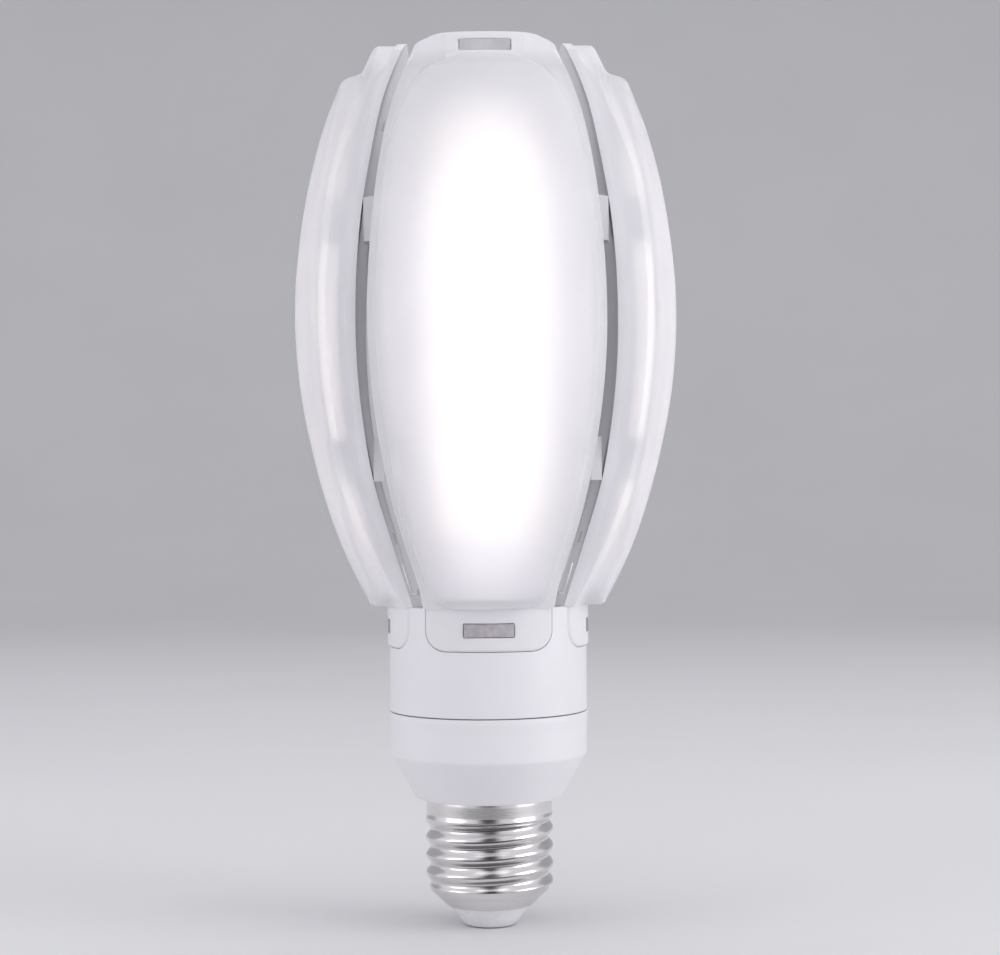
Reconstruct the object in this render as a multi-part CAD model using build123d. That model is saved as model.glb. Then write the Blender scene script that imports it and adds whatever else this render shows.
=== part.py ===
from build123d import *
import math
import os

# Four-petal retrofit LED lamp on an E27 screw cap, cap down.
# Millimetres, +Z up, Z is the lamp axis, origin at the tip of the centre
# contact.  The front petal faces -Y.  A petal is modelled facing +X, where
# x is its distance from the lamp axis and y runs across its width, and is
# then turned to its own place.

# ---------------------------------------------------------------- dimensions
PETALS = [("front", 270.0), ("right", 0.0), ("rear", 90.0), ("left", 180.0)]

# E27 cap
CONTACT_R = 4.4
CONTACT_T = 1.0
RIVET_R = 1.4
INSUL_FOOT_R = 5.2
INSUL_TOP_R = 8.80
INSUL_TOP_Z = 4.25
SHELL_T = 0.6
SKIRT_R = 12.90
SKIRT_Z0 = 22.6
SKIRT_TOP = 31.4
SKIRT_Z1 = 26.2             # end of the skirt that shows; above it the cap is crimped
CRIMP_R = 12.70
ROOT_R = 12.10
CREST_R = 13.13
PITCH = 3.629
THREAD_Z0 = 9.65            # height of the crest where the thread starts
THREAD_TURNS = 3.20
THREAD_AZ0 = 70.0

# driver housing and neck
HOUSING_Z0 = 26.40
SEAM_Z = 44.10
SEAM_GAP = 0.25
NECK_R = 20.25
NECK_IN_R = 17.80
NECK_TOP = 66.00
DECK_T = 2.0

# petal
ARCH_X = -11.0              # vertical axis about which the petal face curves
LENS_T = 1.6
WALL_T = 1.5
STEP = 3.3                  # the dome stands this far proud of its flange
TRAY_T = 1.8
DOME_Z0, DOME_Z1 = 66.00, 174.40
BASE_Z0, BASE_Z1 = 66.00, 179.30

# mid-line of the dome: distance from the lamp axis, height
DOME = [(24.55, 67.1), (25.55, 68.9), (27.55, 72.8), (31.05, 81.1),
        (33.70, 89.3), (35.80, 97.6), (37.50, 105.8), (38.60, 114.1),
        (39.10, 122.5), (38.98, 130.6), (38.25, 138.8), (37.05, 147.1),
        (35.35, 155.3), (33.00, 163.5), (30.85, 169.2), (29.35, 173.0)]
# half-width of the petal, height
HALF = [(13.0, 66.0), (13.6, 69.4), (15.7, 76.5), (18.1, 84.6),
        (20.7, 97.2), (22.3, 108.7), (23.0, 120.1), (22.9, 129.3),
        (22.2, 140.5), (20.7, 153.0), (18.0, 166.1), (15.4, 173.4)]
# back face of the petal: distance from the lamp axis, height
BACK = [(15.1, 66.0), (17.4, 73.5), (19.8, 81.5), (22.3, 90.4),
        (24.2, 101.2), (25.4, 113.0), (25.7, 124.0), (25.2, 137.0),
        (24.1, 147.0), (22.5, 156.4), (20.4, 166.5), (18.2, 173.2),
        (15.5, 179.3)]
CORNER_LOW = 4.5
CORNER_HIGH = 4.0

# tongue of the lens that lies on the neck
TAB_R = 20.65
TAB_T = 1.6
TAB_Z0 = 57.50
TAB_HALF = 12.60
TAB_CORNER = 4.0
WIN_W, WIN_H = 10.3, 2.9
WIN_LOW_Z = 61.75
WIN_HIGH_Z = 176.45

# lighting
BOARD_T = 1.2
BOARD_HALF = 11.8
BOARD_Z0, BOARD_Z1 = 75.5, 168.0
CHIP = (3.5, 2.8, 0.8)
CHIP_ROWS = 13
CHIP_COLS = (-8.0, 0.0, 8.0)
CHIP_Z0, CHIP_Z1 = 83.5, 160.5
SCREW_Z = (79.0, 165.0)

# bridges between neighbouring petals
BRIDGES = [("upper", 138.3, 147.0), ("lower", 91.3, 99.8)]

os.makedirs("parts", exist_ok=True)


# ------------------------------------------------------------------- helpers
def curve(points):
    """Smooth single-valued function x(z) through the points (monotone z)."""
    n = len(points)
    xs = [p[0] for p in points]
    zs = [p[1] for p in points]
    m = []
    for i in range(n):
        if i == 0:
            m.append((xs[1] - xs[0]) / (zs[1] - zs[0]))
        elif i == n - 1:
            m.append((xs[-1] - xs[-2]) / (zs[-1] - zs[-2]))
        else:
            a = (xs[i] - xs[i - 1]) / (zs[i] - zs[i - 1])
            b = (xs[i + 1] - xs[i]) / (zs[i + 1] - zs[i])
            h0, h1 = zs[i] - zs[i - 1], zs[i + 1] - zs[i]
            m.append((a * h1 + b * h0) / (h0 + h1))

    def value(z):
        if z <= zs[0]:
            return xs[0] + m[0] * (z - zs[0])
        if z >= zs[-1]:
            return xs[-1] + m[-1] * (z - zs[-1])
        i = max(k for k in range(n - 1) if zs[k] <= z)
        h = zs[i + 1] - zs[i]
        u = (z - zs[i]) / h
        return ((2 * u**3 - 3 * u**2 + 1) * xs[i]
                + (u**3 - 2 * u**2 + u) * h * m[i]
                + (-2 * u**3 + 3 * u**2) * xs[i + 1]
                + (u**3 - u**2) * h * m[i + 1])
    return value


dome_x = curve(DOME)
half_w = curve(HALF)
back_x = curve(BACK)


def slope(f, z):
    return (f(z + 0.05) - f(z - 0.05)) / 0.1


def steps(z0, z1, n):
    return [z0 + (z1 - z0) * i / (n - 1) for i in range(n)]


def face_of(edges):
    return Face(Wire(edges))


def poly_face(points):
    pts = [Vector(*p) for p in points]
    return face_of([Line(a, b) for a, b in zip(pts, pts[1:] + pts[:1])])


def solid_of(shape):
    """The shape itself, or its solids as one compound."""
    s = list(shape.solids())
    return s[0] if len(s) == 1 else Compound(children=s)


def save(shape, name):
    shape.label = name
    export_step(shape, f"parts/{name}.step")


def group(solids, name):
    out = []
    for s in solids:
        out.extend(s.solids())
    save(Compound(children=out), name)


def ring_profile(points):
    """Solid of revolution about Z of a polygon of (r, z)."""
    return solid_of(revolve(poly_face([(r, 0, z) for r, z in points]), Axis.Z, 360))


def tube_along(points, radius):
    path = Spline([Vector(*p) for p in points])
    start = path @ 0
    plane = Plane(origin=start, z_dir=path % 0)
    return solid_of(sweep(plane * Circle(radius), path=path))


def turned(shape, azimuth):
    return shape.rotate(Axis.Z, azimuth)


# -------------------------------------------------------- petal construction
def arched(profile_pts, z0, z1):
    """Block under an arched face: the mid-line profile revolved about ARCH_X."""
    pts = [Vector(x, 0, z) for x, z in profile_pts if z0 - 1e-6 <= z <= z1 + 1e-6]
    a, b = Vector(4.0, 0, z0), Vector(4.0, 0, z1)
    edges = [Line(a, Vector(pts[0].X, 0, z0))]
    if pts[0].Z - z0 > 1e-6:
        edges.append(Line(Vector(pts[0].X, 0, z0), pts[0]))
    edges.append(Spline(pts))
    last = Vector(pts[-1].X, 0, z1)
    if z1 - pts[-1].Z > 1e-6:
        edges.append(Line(pts[-1], last))
    edges += [Line(last, b), Line(b, a)]
    return solid_of(revolve(face_of(edges), Axis((ARCH_X, 0, 0), (0, 0, 1)), 360))


def outline(inset, z0, z1, corner0, corner1):
    """Front outline of a petal, run along X, with rounded end corners."""
    zs = steps(BASE_Z0 - 1.0, BASE_Z1 + 1.0, 17)
    right = [Vector(0, half_w(z) - inset, z) for z in zs]
    left = [Vector(0, -(half_w(z) - inset), z) for z in zs]
    f = face_of([Spline(right), Line(right[-1], left[-1]),
                 Spline(left[::-1]), Line(left[0], right[0])])
    body = solid_of(extrude(f, 48, dir=(1, 0, 0)))
    body = body & Pos(24, 0, (z0 + z1) / 2) * Box(70, 60, z1 - z0)
    for corner, z_end, sign in ((corner0, z0, 1), (corner1, z1, -1)):
        if corner <= 0:
            continue
        zc = z_end + sign * corner
        edge = half_w(zc) - inset
        for side in (-1, 1):
            yc = side * (edge - corner)
            cut = Pos(24, yc + side * (corner + 3) / 2, zc - sign * (corner + 3) / 2) * Box(
                60, corner + 3, corner + 3)
            cut -= Pos(24, yc, zc) * Rot(0, 90, 0) * Cylinder(corner, 62)
            body -= cut
    return solid_of(body)


def behind(offset):
    """Everything behind the back face shifted outward by offset."""
    zs = [p[1] for p in BACK]
    pts = [Vector(x + offset, -40, z) for x, z in BACK]
    lo = Vector(BACK[0][0] + offset, -40, 50)
    hi = Vector(BACK[-1][0] + offset, -40, 190)
    a, b = Vector(-5, -40, 50), Vector(-5, -40, 190)
    f = face_of([Line(a, lo), Line(lo, pts[0]), Spline(pts), Line(pts[-1], hi),
                 Line(hi, b), Line(b, a)])
    return solid_of(extrude(f, 80, dir=(0, 1, 0)))


def offset_profile(f, dist, zs):
    out = []
    for z in zs:
        out.append((f(z) - dist * math.sqrt(1 + slope(f, z) ** 2), z))
    return out


def base_x(z):
    """Face of the flange level: STEP inside the dome, down to the neck."""
    if z > 173.0:
        return 25.95 - (z - 173.0) * 0.47
    return dome_x(z) - STEP * math.sqrt(1 + slope(dome_x, z) ** 2)


base_pts = [(TAB_R, 66.0)] + [(base_x(z), z) for z in
            (70.5, 76.5, 84.0, 92.0, 100.0, 108.0, 116.0, 124.0, 132.0, 140.0,
             148.0, 156.0, 164.0, 169.5, 174.5, 179.3)]

dome_block = arched([(23.9, DOME_Z0)] + DOME + [(28.8, DOME_Z1)], DOME_Z0, DOME_Z1)
base_block = arched(base_pts, BASE_Z0, BASE_Z1)
dome_cav = arched(offset_profile(dome_x, LENS_T, [p[1] for p in DOME]),
                  DOME_Z0 + 1.6, DOME_Z1 - 1.5)
base_cav = arched([(x - LENS_T, z) for x, z in base_pts], BASE_Z0 + 1.6, BASE_Z1 - 1.6)

base_out = outline(0, BASE_Z0, BASE_Z1, 0, 5.5)
dome_out = outline(0, DOME_Z0, DOME_Z1, CORNER_LOW, CORNER_HIGH)
base_in = outline(WALL_T, BASE_Z0 + 1.6, BASE_Z1 - 1.6, 0, 3.4)
dome_in = outline(WALL_T, DOME_Z0 + 1.6, DOME_Z1 - 1.5, CORNER_LOW - 1.0, CORNER_HIGH - 1.0)

envelope = (base_block & base_out) + (dome_block & dome_out)
cavity = (base_cav & base_in) + (dome_cav & dome_in)

# the tongue: a curved plate that lies in a recess of the neck wall
def tab_block(r0, r1, grow, z_top):
    z0 = TAB_Z0 - grow
    w = TAB_HALF + grow
    plate = Pos(20, 0, (z0 + z_top) / 2) * Box(20, 2 * w, z_top - z0)
    for side in (-1, 1):
        yc, zc = side * (w - TAB_CORNER), z0 + TAB_CORNER
        cut = Pos(20, yc + side * 4, zc - 4) * Box(22, 8, 8)
        cut -= Pos(20, yc, zc) * Rot(0, 90, 0) * Cylinder(TAB_CORNER, 24)
        plate -= cut
    ring = Pos(0, 0, 60) * (Cylinder(r1, 40) - Cylinder(r0, 42))
    return solid_of(plate & ring)


tab = tab_block(TAB_R - TAB_T, TAB_R, 0, BASE_Z0 + 1.2)
win_low = Pos(20, 0, WIN_LOW_Z) * Box(8, WIN_W, WIN_H)
win_high = Pos(24, 0, WIN_HIGH_Z) * Box(9, WIN_W, 2.7)

shell = envelope - behind(TRAY_T) - cavity
tab -= behind(TRAY_T) & Pos(0, 0, BASE_Z0) * Cylinder(30, 8, align=(Align.CENTER, Align.CENTER, Align.MIN))
lead_gap = Pos(16.6, 0, BASE_Z0) * Box(3.2, 2.6, 6.0)
lens = solid_of((shell + tab) - win_low - win_high - lead_gap)

# the tray: the petal's back plate, with a rim and hooks inside the lens wall
slab = (envelope & behind(TRAY_T)) - behind(0)
rim_out = outline(WALL_T + 0.1, BASE_Z0 + 1.8, BASE_Z1 - 1.8, 0, 3.3)
rim_in = outline(WALL_T + 1.5, BASE_Z0 + 3.6, BASE_Z1 - 3.4, 0, 2.2)
rim = ((rim_out - rim_in) & behind(TRAY_T + 1.6)) - behind(TRAY_T - 0.2)
rim = rim & cavity
hooks = []
for _, z0, z1 in BRIDGES:
    w = min(half_w(z0), half_w(z1)) - WALL_T - 0.3
    for side in (-1, 1):
        hooks.append(Pos(26, side * (w - 1.5), (z0 + z1) / 2) * Box(40, 3.0, z1 - z0))
hooks = (hooks[0] + hooks[1] + hooks[2] + hooks[3]) & behind(TRAY_T + 5.0)
hooks = (hooks & cavity) - behind(TRAY_T - 0.2)
foot = Pos(13.2, 0, BASE_Z0 + 1.0) * Box(7.4, 15.0, 2.0)
foot = foot & Pos(9.5, -8, 60) * Box(20, 16, 20, align=(Align.MIN, Align.MIN, Align.MIN))
tray = slab + rim + hooks + foot
# the lead from the driver comes up through a notch in the foot
notch = Pos(18.0, 0, 69.6) * Box(8.0, 2.6, 9.0)
tray = tray - notch


def on_back(z, y, lift):
    """Plane on the tray's front face at height z, lifted along its normal."""
    s = slope(back_x, z)
    n = Vector(1, 0, -s).normalized()
    o = Vector(back_x(z) + TRAY_T, y, z) + n * lift
    return Plane(origin=o, x_dir=(0, 1, 0), z_dir=n)


# the board: aluminium-core circuit board bent to the tray
board = behind(TRAY_T + BOARD_T) - behind(TRAY_T)
board = board & Pos(24, 0, (BOARD_Z0 + BOARD_Z1) / 2) * Box(
    40, 2 * BOARD_HALF, BOARD_Z1 - BOARD_Z0)

screws = []
for z in SCREW_Z:
    p = on_back(z, 0, 0)
    shank = p * Pos(0, 0, 0.0) * Cylinder(1.2, TRAY_T + BOARD_T + 1.0,
                                         align=(Align.CENTER, Align.CENTER, Align.CENTER))
    head = p * Pos(0, 0, BOARD_T + 0.35) * Cylinder(
        2.3, 1.5, align=(Align.CENTER, Align.CENTER, Align.MIN))
    slot = p * Pos(0, 0, BOARD_T + 1.25) * (Box(2.9, 0.6, 1.4) + Box(0.6, 2.9, 1.4))
    neck = p * Pos(0, 0, 0.8) * Cylinder(1.2, 1.2)
    screws.append(solid_of((shank + neck + head) - slot))
    bore = p * Cylinder(1.22, 12)
    board = board - bore - (p * Pos(0, 0, BOARD_T + 0.34) * Cylinder(
        2.35, 2, align=(Align.CENTER, Align.CENTER, Align.MIN)))
    tray = tray - bore
board = solid_of(board)

foot_screws = []
for side in (-1, 1):
    at = Pos(12.2, side * 4.8, 0)
    head = at * Pos(0, 0, BASE_Z0 + 2.0) * Cylinder(2.2, 1.4, align=(Align.CENTER, Align.CENTER, Align.MIN))
    shank = at * Pos(0, 0, BASE_Z0 - 2.6) * Cylinder(1.2, 4.7, align=(Align.CENTER, Align.CENTER, Align.MIN))
    slot = at * Pos(0, 0, BASE_Z0 + 3.2) * (Box(2.8, 0.6, 1.2) + Box(0.6, 2.8, 1.2))
    foot_screws.append(solid_of((head + shank) - slot))
    tray = tray - at * Pos(0, 0, BASE_Z0) * Cylinder(1.22, 9)
tray = solid_of(tray)

chips = []
for z in steps(CHIP_Z0, CHIP_Z1, CHIP_ROWS):
    for y in CHIP_COLS:
        p = on_back(z, y, 0.02)
        # the board's front follows the back profile shifted along x
        s = slope(back_x, z)
        rise = BOARD_T / math.sqrt(1 + s * s) + CHIP[2] / 2
        chips.append(p * Pos(0, 0, rise) * Box(CHIP[1], CHIP[0], CHIP[2]))

clip_high = solid_of(Pos(20.6, 0, WIN_HIGH_Z) * Box(3.2, WIN_W - 0.3, 2.4,
                                                    align=(Align.MIN, Align.CENTER, Align.CENTER)))
clip_low = Pos(18.7, 0, WIN_LOW_Z) * Box(1.75, WIN_W - 0.3, WIN_H - 0.3,
                                         align=(Align.MIN, Align.CENTER, Align.CENTER))
clip_low = solid_of(clip_low)

for name, az in PETALS:
    save(turned(lens, az), f"lens_{name}")
    save(turned(tray, az), f"tray_{name}")
    save(turned(board, az), f"led_board_{name}")
    group([turned(c, az) for c in chips], f"led_chips_{name}")
group([turned(s, az) for _, az in PETALS for s in screws], "board_screws")
group([turned(s, az) for _, az in PETALS for s in foot_screws], "foot_screws")
group([turned(clip_high, az) for _, az in PETALS], "upper_lens_clips")
group([turned(clip_low, az) for _, az in PETALS], "lower_lens_clips")

# bridges: corner blocks behind the slot between two petals
for name, z0, z1 in BRIDGES:
    blocks = []
    zm = (z0 + z1) / 2
    b = min(back_x(z0), back_x(z1)) - 0.05
    w = 7.5
    prism = solid_of(extrude(poly_face([(b - w, b, z0), (b - 2.2, b, z0), (b, b - 2.2, z0),
                                        (b, b - w, z0), (b - 1.8, b - w, z0),
                                        (b - w, b - 1.8, z0)]), z1 - z0, dir=(0, 0, 1)))
    for az in (0, 90, 180, 270):
        blocks.append(turned(prism, az))
    group(blocks, f"{name}_bridges")

# --------------------------------------------------------------------- neck
neck = ring_profile([(NECK_IN_R, SEAM_Z + SEAM_GAP), (NECK_R - 0.1, SEAM_Z + SEAM_GAP),
                     (NECK_R, SEAM_Z + SEAM_GAP + 0.3), (NECK_R, NECK_TOP - 0.4),
                     (NECK_R - 0.4, NECK_TOP), (0.0, NECK_TOP), (0.0, NECK_TOP - DECK_T),
                     (NECK_IN_R, NECK_TOP - DECK_T)])
neck += ring_profile([(16.4, 40.0), (17.7, 40.0), (17.7, SEAM_Z + 0.5), (17.9, SEAM_Z + 0.5),
                      (17.9, 46.5), (16.4, 46.5)])
recess = tab_block(TAB_R - TAB_T, 24.0, 0.08, 70.0)
for _, az in PETALS:
    neck -= turned(recess, az)
    neck -= turned(Pos(18.7, 0, WIN_LOW_Z) * Box(3, WIN_W - 0.3, WIN_H - 0.3,
                   align=(Align.MIN, Align.CENTER, Align.CENTER)), az)
    neck -= turned(Pos(16.0, 0, 65) * Cylinder(1.5, 6), az)
    for side in (-1, 1):
        neck -= turned(Pos(12.2, side * 4.8, 65) * Cylinder(1.22, 8), az)
neck = solid_of(neck)
save(neck, "neck_frame")

# ------------------------------------------------------------ driver housing
housing = ring_profile([(12.98, HOUSING_Z0), (14.75, HOUSING_Z0), (15.25, HOUSING_Z0 + 0.35),
                        (15.55, HOUSING_Z0 + 0.95), (19.85, 34.9), (20.08, 35.5),
                        (20.15, 36.3), (20.30, 43.2), (20.38, 43.6), (20.38, SEAM_Z - 0.1),
                        (20.28, SEAM_Z), (NECK_IN_R, SEAM_Z), (NECK_IN_R, 37.2),
                        (14.8, 31.8), (12.78, 31.8), (12.78, HOUSING_Z0 + 0.4)])
save(housing, "driver_housing")

# ---------------------------------------------------------------- screw cap
outer = [(8.85, 4.28), (9.34, 4.62), (9.94, 5.20), (10.50, 5.85), (11.10, 6.40),
         (11.70, 6.85), (12.02, 7.20), (ROOT_R, 7.80), (ROOT_R, 22.0),
         (12.35, 22.3), (SKIRT_R, SKIRT_Z0), (SKIRT_R, SKIRT_Z1),
         (CRIMP_R, SKIRT_Z1 + 0.25), (CRIMP_R, SKIRT_TOP)]
inner = [(CRIMP_R - SHELL_T, SKIRT_TOP), (CRIMP_R - SHELL_T, SKIRT_Z1 + 0.5),
         (SKIRT_R - SHELL_T, SKIRT_Z1), (SKIRT_R - SHELL_T, 23.3), (ROOT_R - SHELL_T, 22.6),
         (ROOT_R - SHELL_T, 8.1), (11.20, 7.30), (10.60, 6.85), (10.0, 6.35),
         (9.50, 5.75), (8.85, 5.10)]
cap = ring_profile(outer + inner)
path = Helix(pitch=PITCH, height=PITCH * THREAD_TURNS, radius=ROOT_R)
section = face_of([
    Line(Vector(11.78, 0, -1.68), Vector(12.30, 0, -1.16)),
    Spline([Vector(12.30, 0, -1.16), Vector(12.88, 0, -0.56), Vector(CREST_R, 0, 0),
            Vector(12.88, 0, 0.56), Vector(12.30, 0, 1.16)]),
    Line(Vector(12.30, 0, 1.16), Vector(11.78, 0, 1.68)),
    Line(Vector(11.78, 0, 1.68), Vector(11.78, 0, -1.68))])
thread = sweep(section, path=path, is_frenet=True)
thread = thread.moved(Location((0, 0, THREAD_Z0))).rotate(Axis.Z, THREAD_AZ0)
cap = solid_of(cap + thread)
save(cap, "cap_shell")

insulator = ring_profile([(RIVET_R + 0.05, 0.98), (CONTACT_R + 0.1, 0.98), (CONTACT_R + 0.1, 0.15),
                          (INSUL_FOOT_R, 0.15), (5.55, 0.40), (6.00, 0.90), (6.90, 2.12),
                          (8.35, 4.02), (8.75, INSUL_TOP_Z), (8.75, 5.05), (9.2, 5.60),
                          (9.2, 6.3), (6.0, 6.9), (RIVET_R + 0.05, 6.9)])
save(insulator, "cap_insulator")
contact = ring_profile([(0, 0), (2.6, 0.0), (3.7, 0.12), (CONTACT_R, 0.45),
                        (CONTACT_R, 0.95), (RIVET_R, 0.95), (RIVET_R, 7.4), (0, 7.4)])
save(contact, "contact_button")

# ------------------------------------------------------------------- driver
pcb = Pos(0, 0, 49.5) * Box(32, 1.6, 23.0) + Pos(0, 0, 27.5) * Box(19, 1.6, 21.2)
save(solid_of(pcb), "driver_board")
Y0 = 0.85                    # component side faces -Y, the other side +Y


def core_and_winding():
    ring = Box(13, 6, 12) - Pos(0, 0, 0) * Box(9, 8, 8)
    limb = Box(3.6, 6, 12)
    core = ring + limb
    wind = Box(8.6, 11.6, 7.6)
    wind = fillet(wind.edges().filter_by(Axis.Z), 1.6)
    wind = wind - Box(3.7, 6.1, 14)
    at = Pos(-5.6, -Y0 - 6.0, 50.5)
    return solid_of(at * core), solid_of(at * wind)


core, winding = core_and_winding()
save(core, "transformer_core")
save(winding, "transformer_winding")


def can(r, h, x, y, z0):
    body = Pos(x, y, z0) * Cylinder(r, h, align=(Align.CENTER, Align.CENTER, Align.MIN))
    groove = Pos(x, y, z0 + 1.6) * Torus(r + 0.25, 0.5)
    return solid_of(body - groove)


save(can(4.9, 16.5, 7.7, -Y0 - 5.0, 41.5), "output_capacitor")
save(can(3.9, 11.5, 3.6, -Y0 - 4.0, 24.0), "input_capacitor")
film = Pos(7.2, Y0 + 2.9, 54.5) * Box(11.0, 5.6, 9.0)
save(solid_of(fillet(film.edges(), 0.5)), "film_capacitor")
drum = Pos(-6.0, Y0 + 4.6, 48.0) * (Cylinder(4.4, 1.4, align=(Align.CENTER, Align.CENTER, Align.MIN))
                                    + Cylinder(2.0, 9.0, align=(Align.CENTER, Align.CENTER, Align.MIN))
                                    + Pos(0, 0, 7.6) * Cylinder(4.4, 1.4, align=(Align.CENTER, Align.CENTER, Align.MIN)))
save(solid_of(drum), "choke_core")
coil = Pos(-6.0, Y0 + 4.6, 49.5) * (Cylinder(3.8, 6.0, align=(Align.CENTER, Align.CENTER, Align.MIN))
                                    - Cylinder(2.05, 6.2, align=(Align.CENTER, Align.CENTER, Align.MIN)))
save(solid_of(coil), "choke_winding")
save(Pos(-1.5, Y0 + 0.9, 42.5) * Box(5.0, 1.7, 4.0), "driver_chip")
save(Pos(0.0, Y0 + 1.3, 33.5) * Box(7.0, 2.5, 5.0), "bridge_rectifier")
fuse = Pos(-4.6, -Y0 - 2.2, 24.5) * Cylinder(2.0, 9.0, align=(Align.CENTER, Align.CENTER, Align.MIN))
save(solid_of(fuse), "fusible_resistor")

save(tube_along([(-4.6, -Y0 - 2.2, 24.4), (-4.2, -3.0, 20.5), (-1.2, -1.6, 14.0),
                 (0, 0, 9.5), (0, 0, 7.5)], 0.7), "live_lead")
save(tube_along([(6.0, Y0 + 0.8, 19.0), (7.4, 3.2, 22.0), (9.2, 4.2, 26.0),
                 (10.5, 4.1, 28.4), (11.0, 3.3, 30.4)], 0.6), "neutral_lead")
leads = []
for name, az in PETALS:
    pts = [(r, 0.0, z) for r, z in
           ((7.0, 62.45), (12.6, 62.5), (15.6, 64.2), (16.6, 67.2), (18.4, 71.0), (20.3, 74.6))]
    leads.append(turned(tube_along(pts, 0.65), az))
group(leads, "petal_leads")
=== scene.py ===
import math

import bmesh
import bpy
from mathutils import Matrix, Vector


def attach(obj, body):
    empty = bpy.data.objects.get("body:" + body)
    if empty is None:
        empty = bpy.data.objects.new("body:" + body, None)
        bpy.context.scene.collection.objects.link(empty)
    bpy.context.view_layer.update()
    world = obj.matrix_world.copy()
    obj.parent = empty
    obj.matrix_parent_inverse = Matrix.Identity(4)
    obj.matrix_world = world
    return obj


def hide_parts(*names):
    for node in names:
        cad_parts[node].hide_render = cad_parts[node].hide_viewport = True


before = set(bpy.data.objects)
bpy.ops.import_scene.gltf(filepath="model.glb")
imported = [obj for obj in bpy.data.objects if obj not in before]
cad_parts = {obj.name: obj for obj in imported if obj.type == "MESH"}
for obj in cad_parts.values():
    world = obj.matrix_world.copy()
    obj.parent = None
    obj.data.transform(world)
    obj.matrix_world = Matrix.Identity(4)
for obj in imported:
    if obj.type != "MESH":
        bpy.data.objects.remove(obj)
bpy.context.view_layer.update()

MM = 0.001
PETALS = [("front", -90.0), ("right", 0.0), ("rear", 90.0), ("left", 180.0)]


# ------------------------------------------------------------------ geometry
def curve(points):
    """Smooth function x(z) through points with rising z."""
    xs = [p[0] for p in points]
    zs = [p[1] for p in points]
    n = len(points)
    m = []
    for i in range(n):
        if i == 0:
            m.append((xs[1] - xs[0]) / (zs[1] - zs[0]))
        elif i == n - 1:
            m.append((xs[-1] - xs[-2]) / (zs[-1] - zs[-2]))
        else:
            a = (xs[i] - xs[i - 1]) / (zs[i] - zs[i - 1])
            b = (xs[i + 1] - xs[i]) / (zs[i + 1] - zs[i])
            h0, h1 = zs[i] - zs[i - 1], zs[i + 1] - zs[i]
            m.append((a * h1 + b * h0) / (h0 + h1))

    def value(z):
        if z <= zs[0]:
            return xs[0] + m[0] * (z - zs[0])
        if z >= zs[-1]:
            return xs[-1] + m[-1] * (z - zs[-1])
        i = max(k for k in range(n - 1) if zs[k] <= z)
        h = zs[i + 1] - zs[i]
        u = (z - zs[i]) / h
        return ((2 * u**3 - 3 * u**2 + 1) * xs[i] + (u**3 - 2 * u**2 + u) * h * m[i]
                + (-2 * u**3 + 3 * u**2) * xs[i + 1] + (u**3 - u**2) * h * m[i + 1])
    return value


DOME = [(24.55, 67.1), (25.55, 68.9), (27.55, 72.8), (31.05, 81.1),
        (33.70, 89.3), (35.80, 97.6), (37.50, 105.8), (38.60, 114.1),
        (39.10, 122.5), (38.98, 130.6), (38.25, 138.8), (37.05, 147.1),
        (35.35, 155.3), (33.00, 163.5), (30.85, 169.2), (29.35, 173.0)]
HALF = [(13.0, 66.0), (13.6, 69.4), (15.7, 76.5), (18.1, 84.6),
        (20.7, 97.2), (22.3, 108.7), (23.0, 120.1), (22.9, 129.3),
        (22.2, 140.5), (20.7, 153.0), (18.0, 166.1), (15.4, 173.4)]
BACK = [(15.1, 66.0), (17.4, 73.5), (19.8, 81.5), (22.3, 90.4),
        (24.2, 101.2), (25.4, 113.0), (25.7, 124.0), (25.2, 137.0),
        (24.1, 147.0), (22.5, 156.4), (20.4, 166.5), (18.2, 173.2),
        (15.5, 179.3)]
ARCH = 11.0
TRAY = 1.8
RIM = 1.45
TAB_R, TAB_T, TAB_Z0, TAB_HALF = 20.62, 1.5, 57.5, 12.6
dome_x, half_w, back_x = curve(DOME), curve(HALF), curve(BACK)


def slope(f, z):
    return (f(z + 0.05) - f(z - 0.05)) / 0.1


def smooth(a, b, x):
    t = min(1.0, max(0.0, (x - a) / (b - a)))
    return t * t * (3 - 2 * t)


def step_down(z):
    """How far the flange lies under the dome's face."""
    return 1.5 + 1.75 * max(smooth(96.0, 70.0, z), smooth(150.0, 170.0, z))


def flange_x(z):
    straight = 25.95 - (z - 173.0) * 0.47
    if z > 173.0:
        return straight
    bent = dome_x(z) - step_down(z) * math.sqrt(1 + slope(dome_x, z) ** 2)
    w = smooth(170.5, 173.0, z)
    return bent * (1 - w) + straight * w


def end_round(z, z0, z1, c0, c1):
    """How much narrower a rounded outline is near its two ends."""
    pull = 0.0
    if z < z0 + c0:
        d = min(c0, z0 + c0 - z)
        pull = max(pull, c0 - math.sqrt(max(0.0, c0 * c0 - d * d)))
    if z > z1 - c1:
        d = min(c1, z - z1 + c1)
        pull = max(pull, c1 - math.sqrt(max(0.0, c1 * c1 - d * d)))
    return pull


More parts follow.
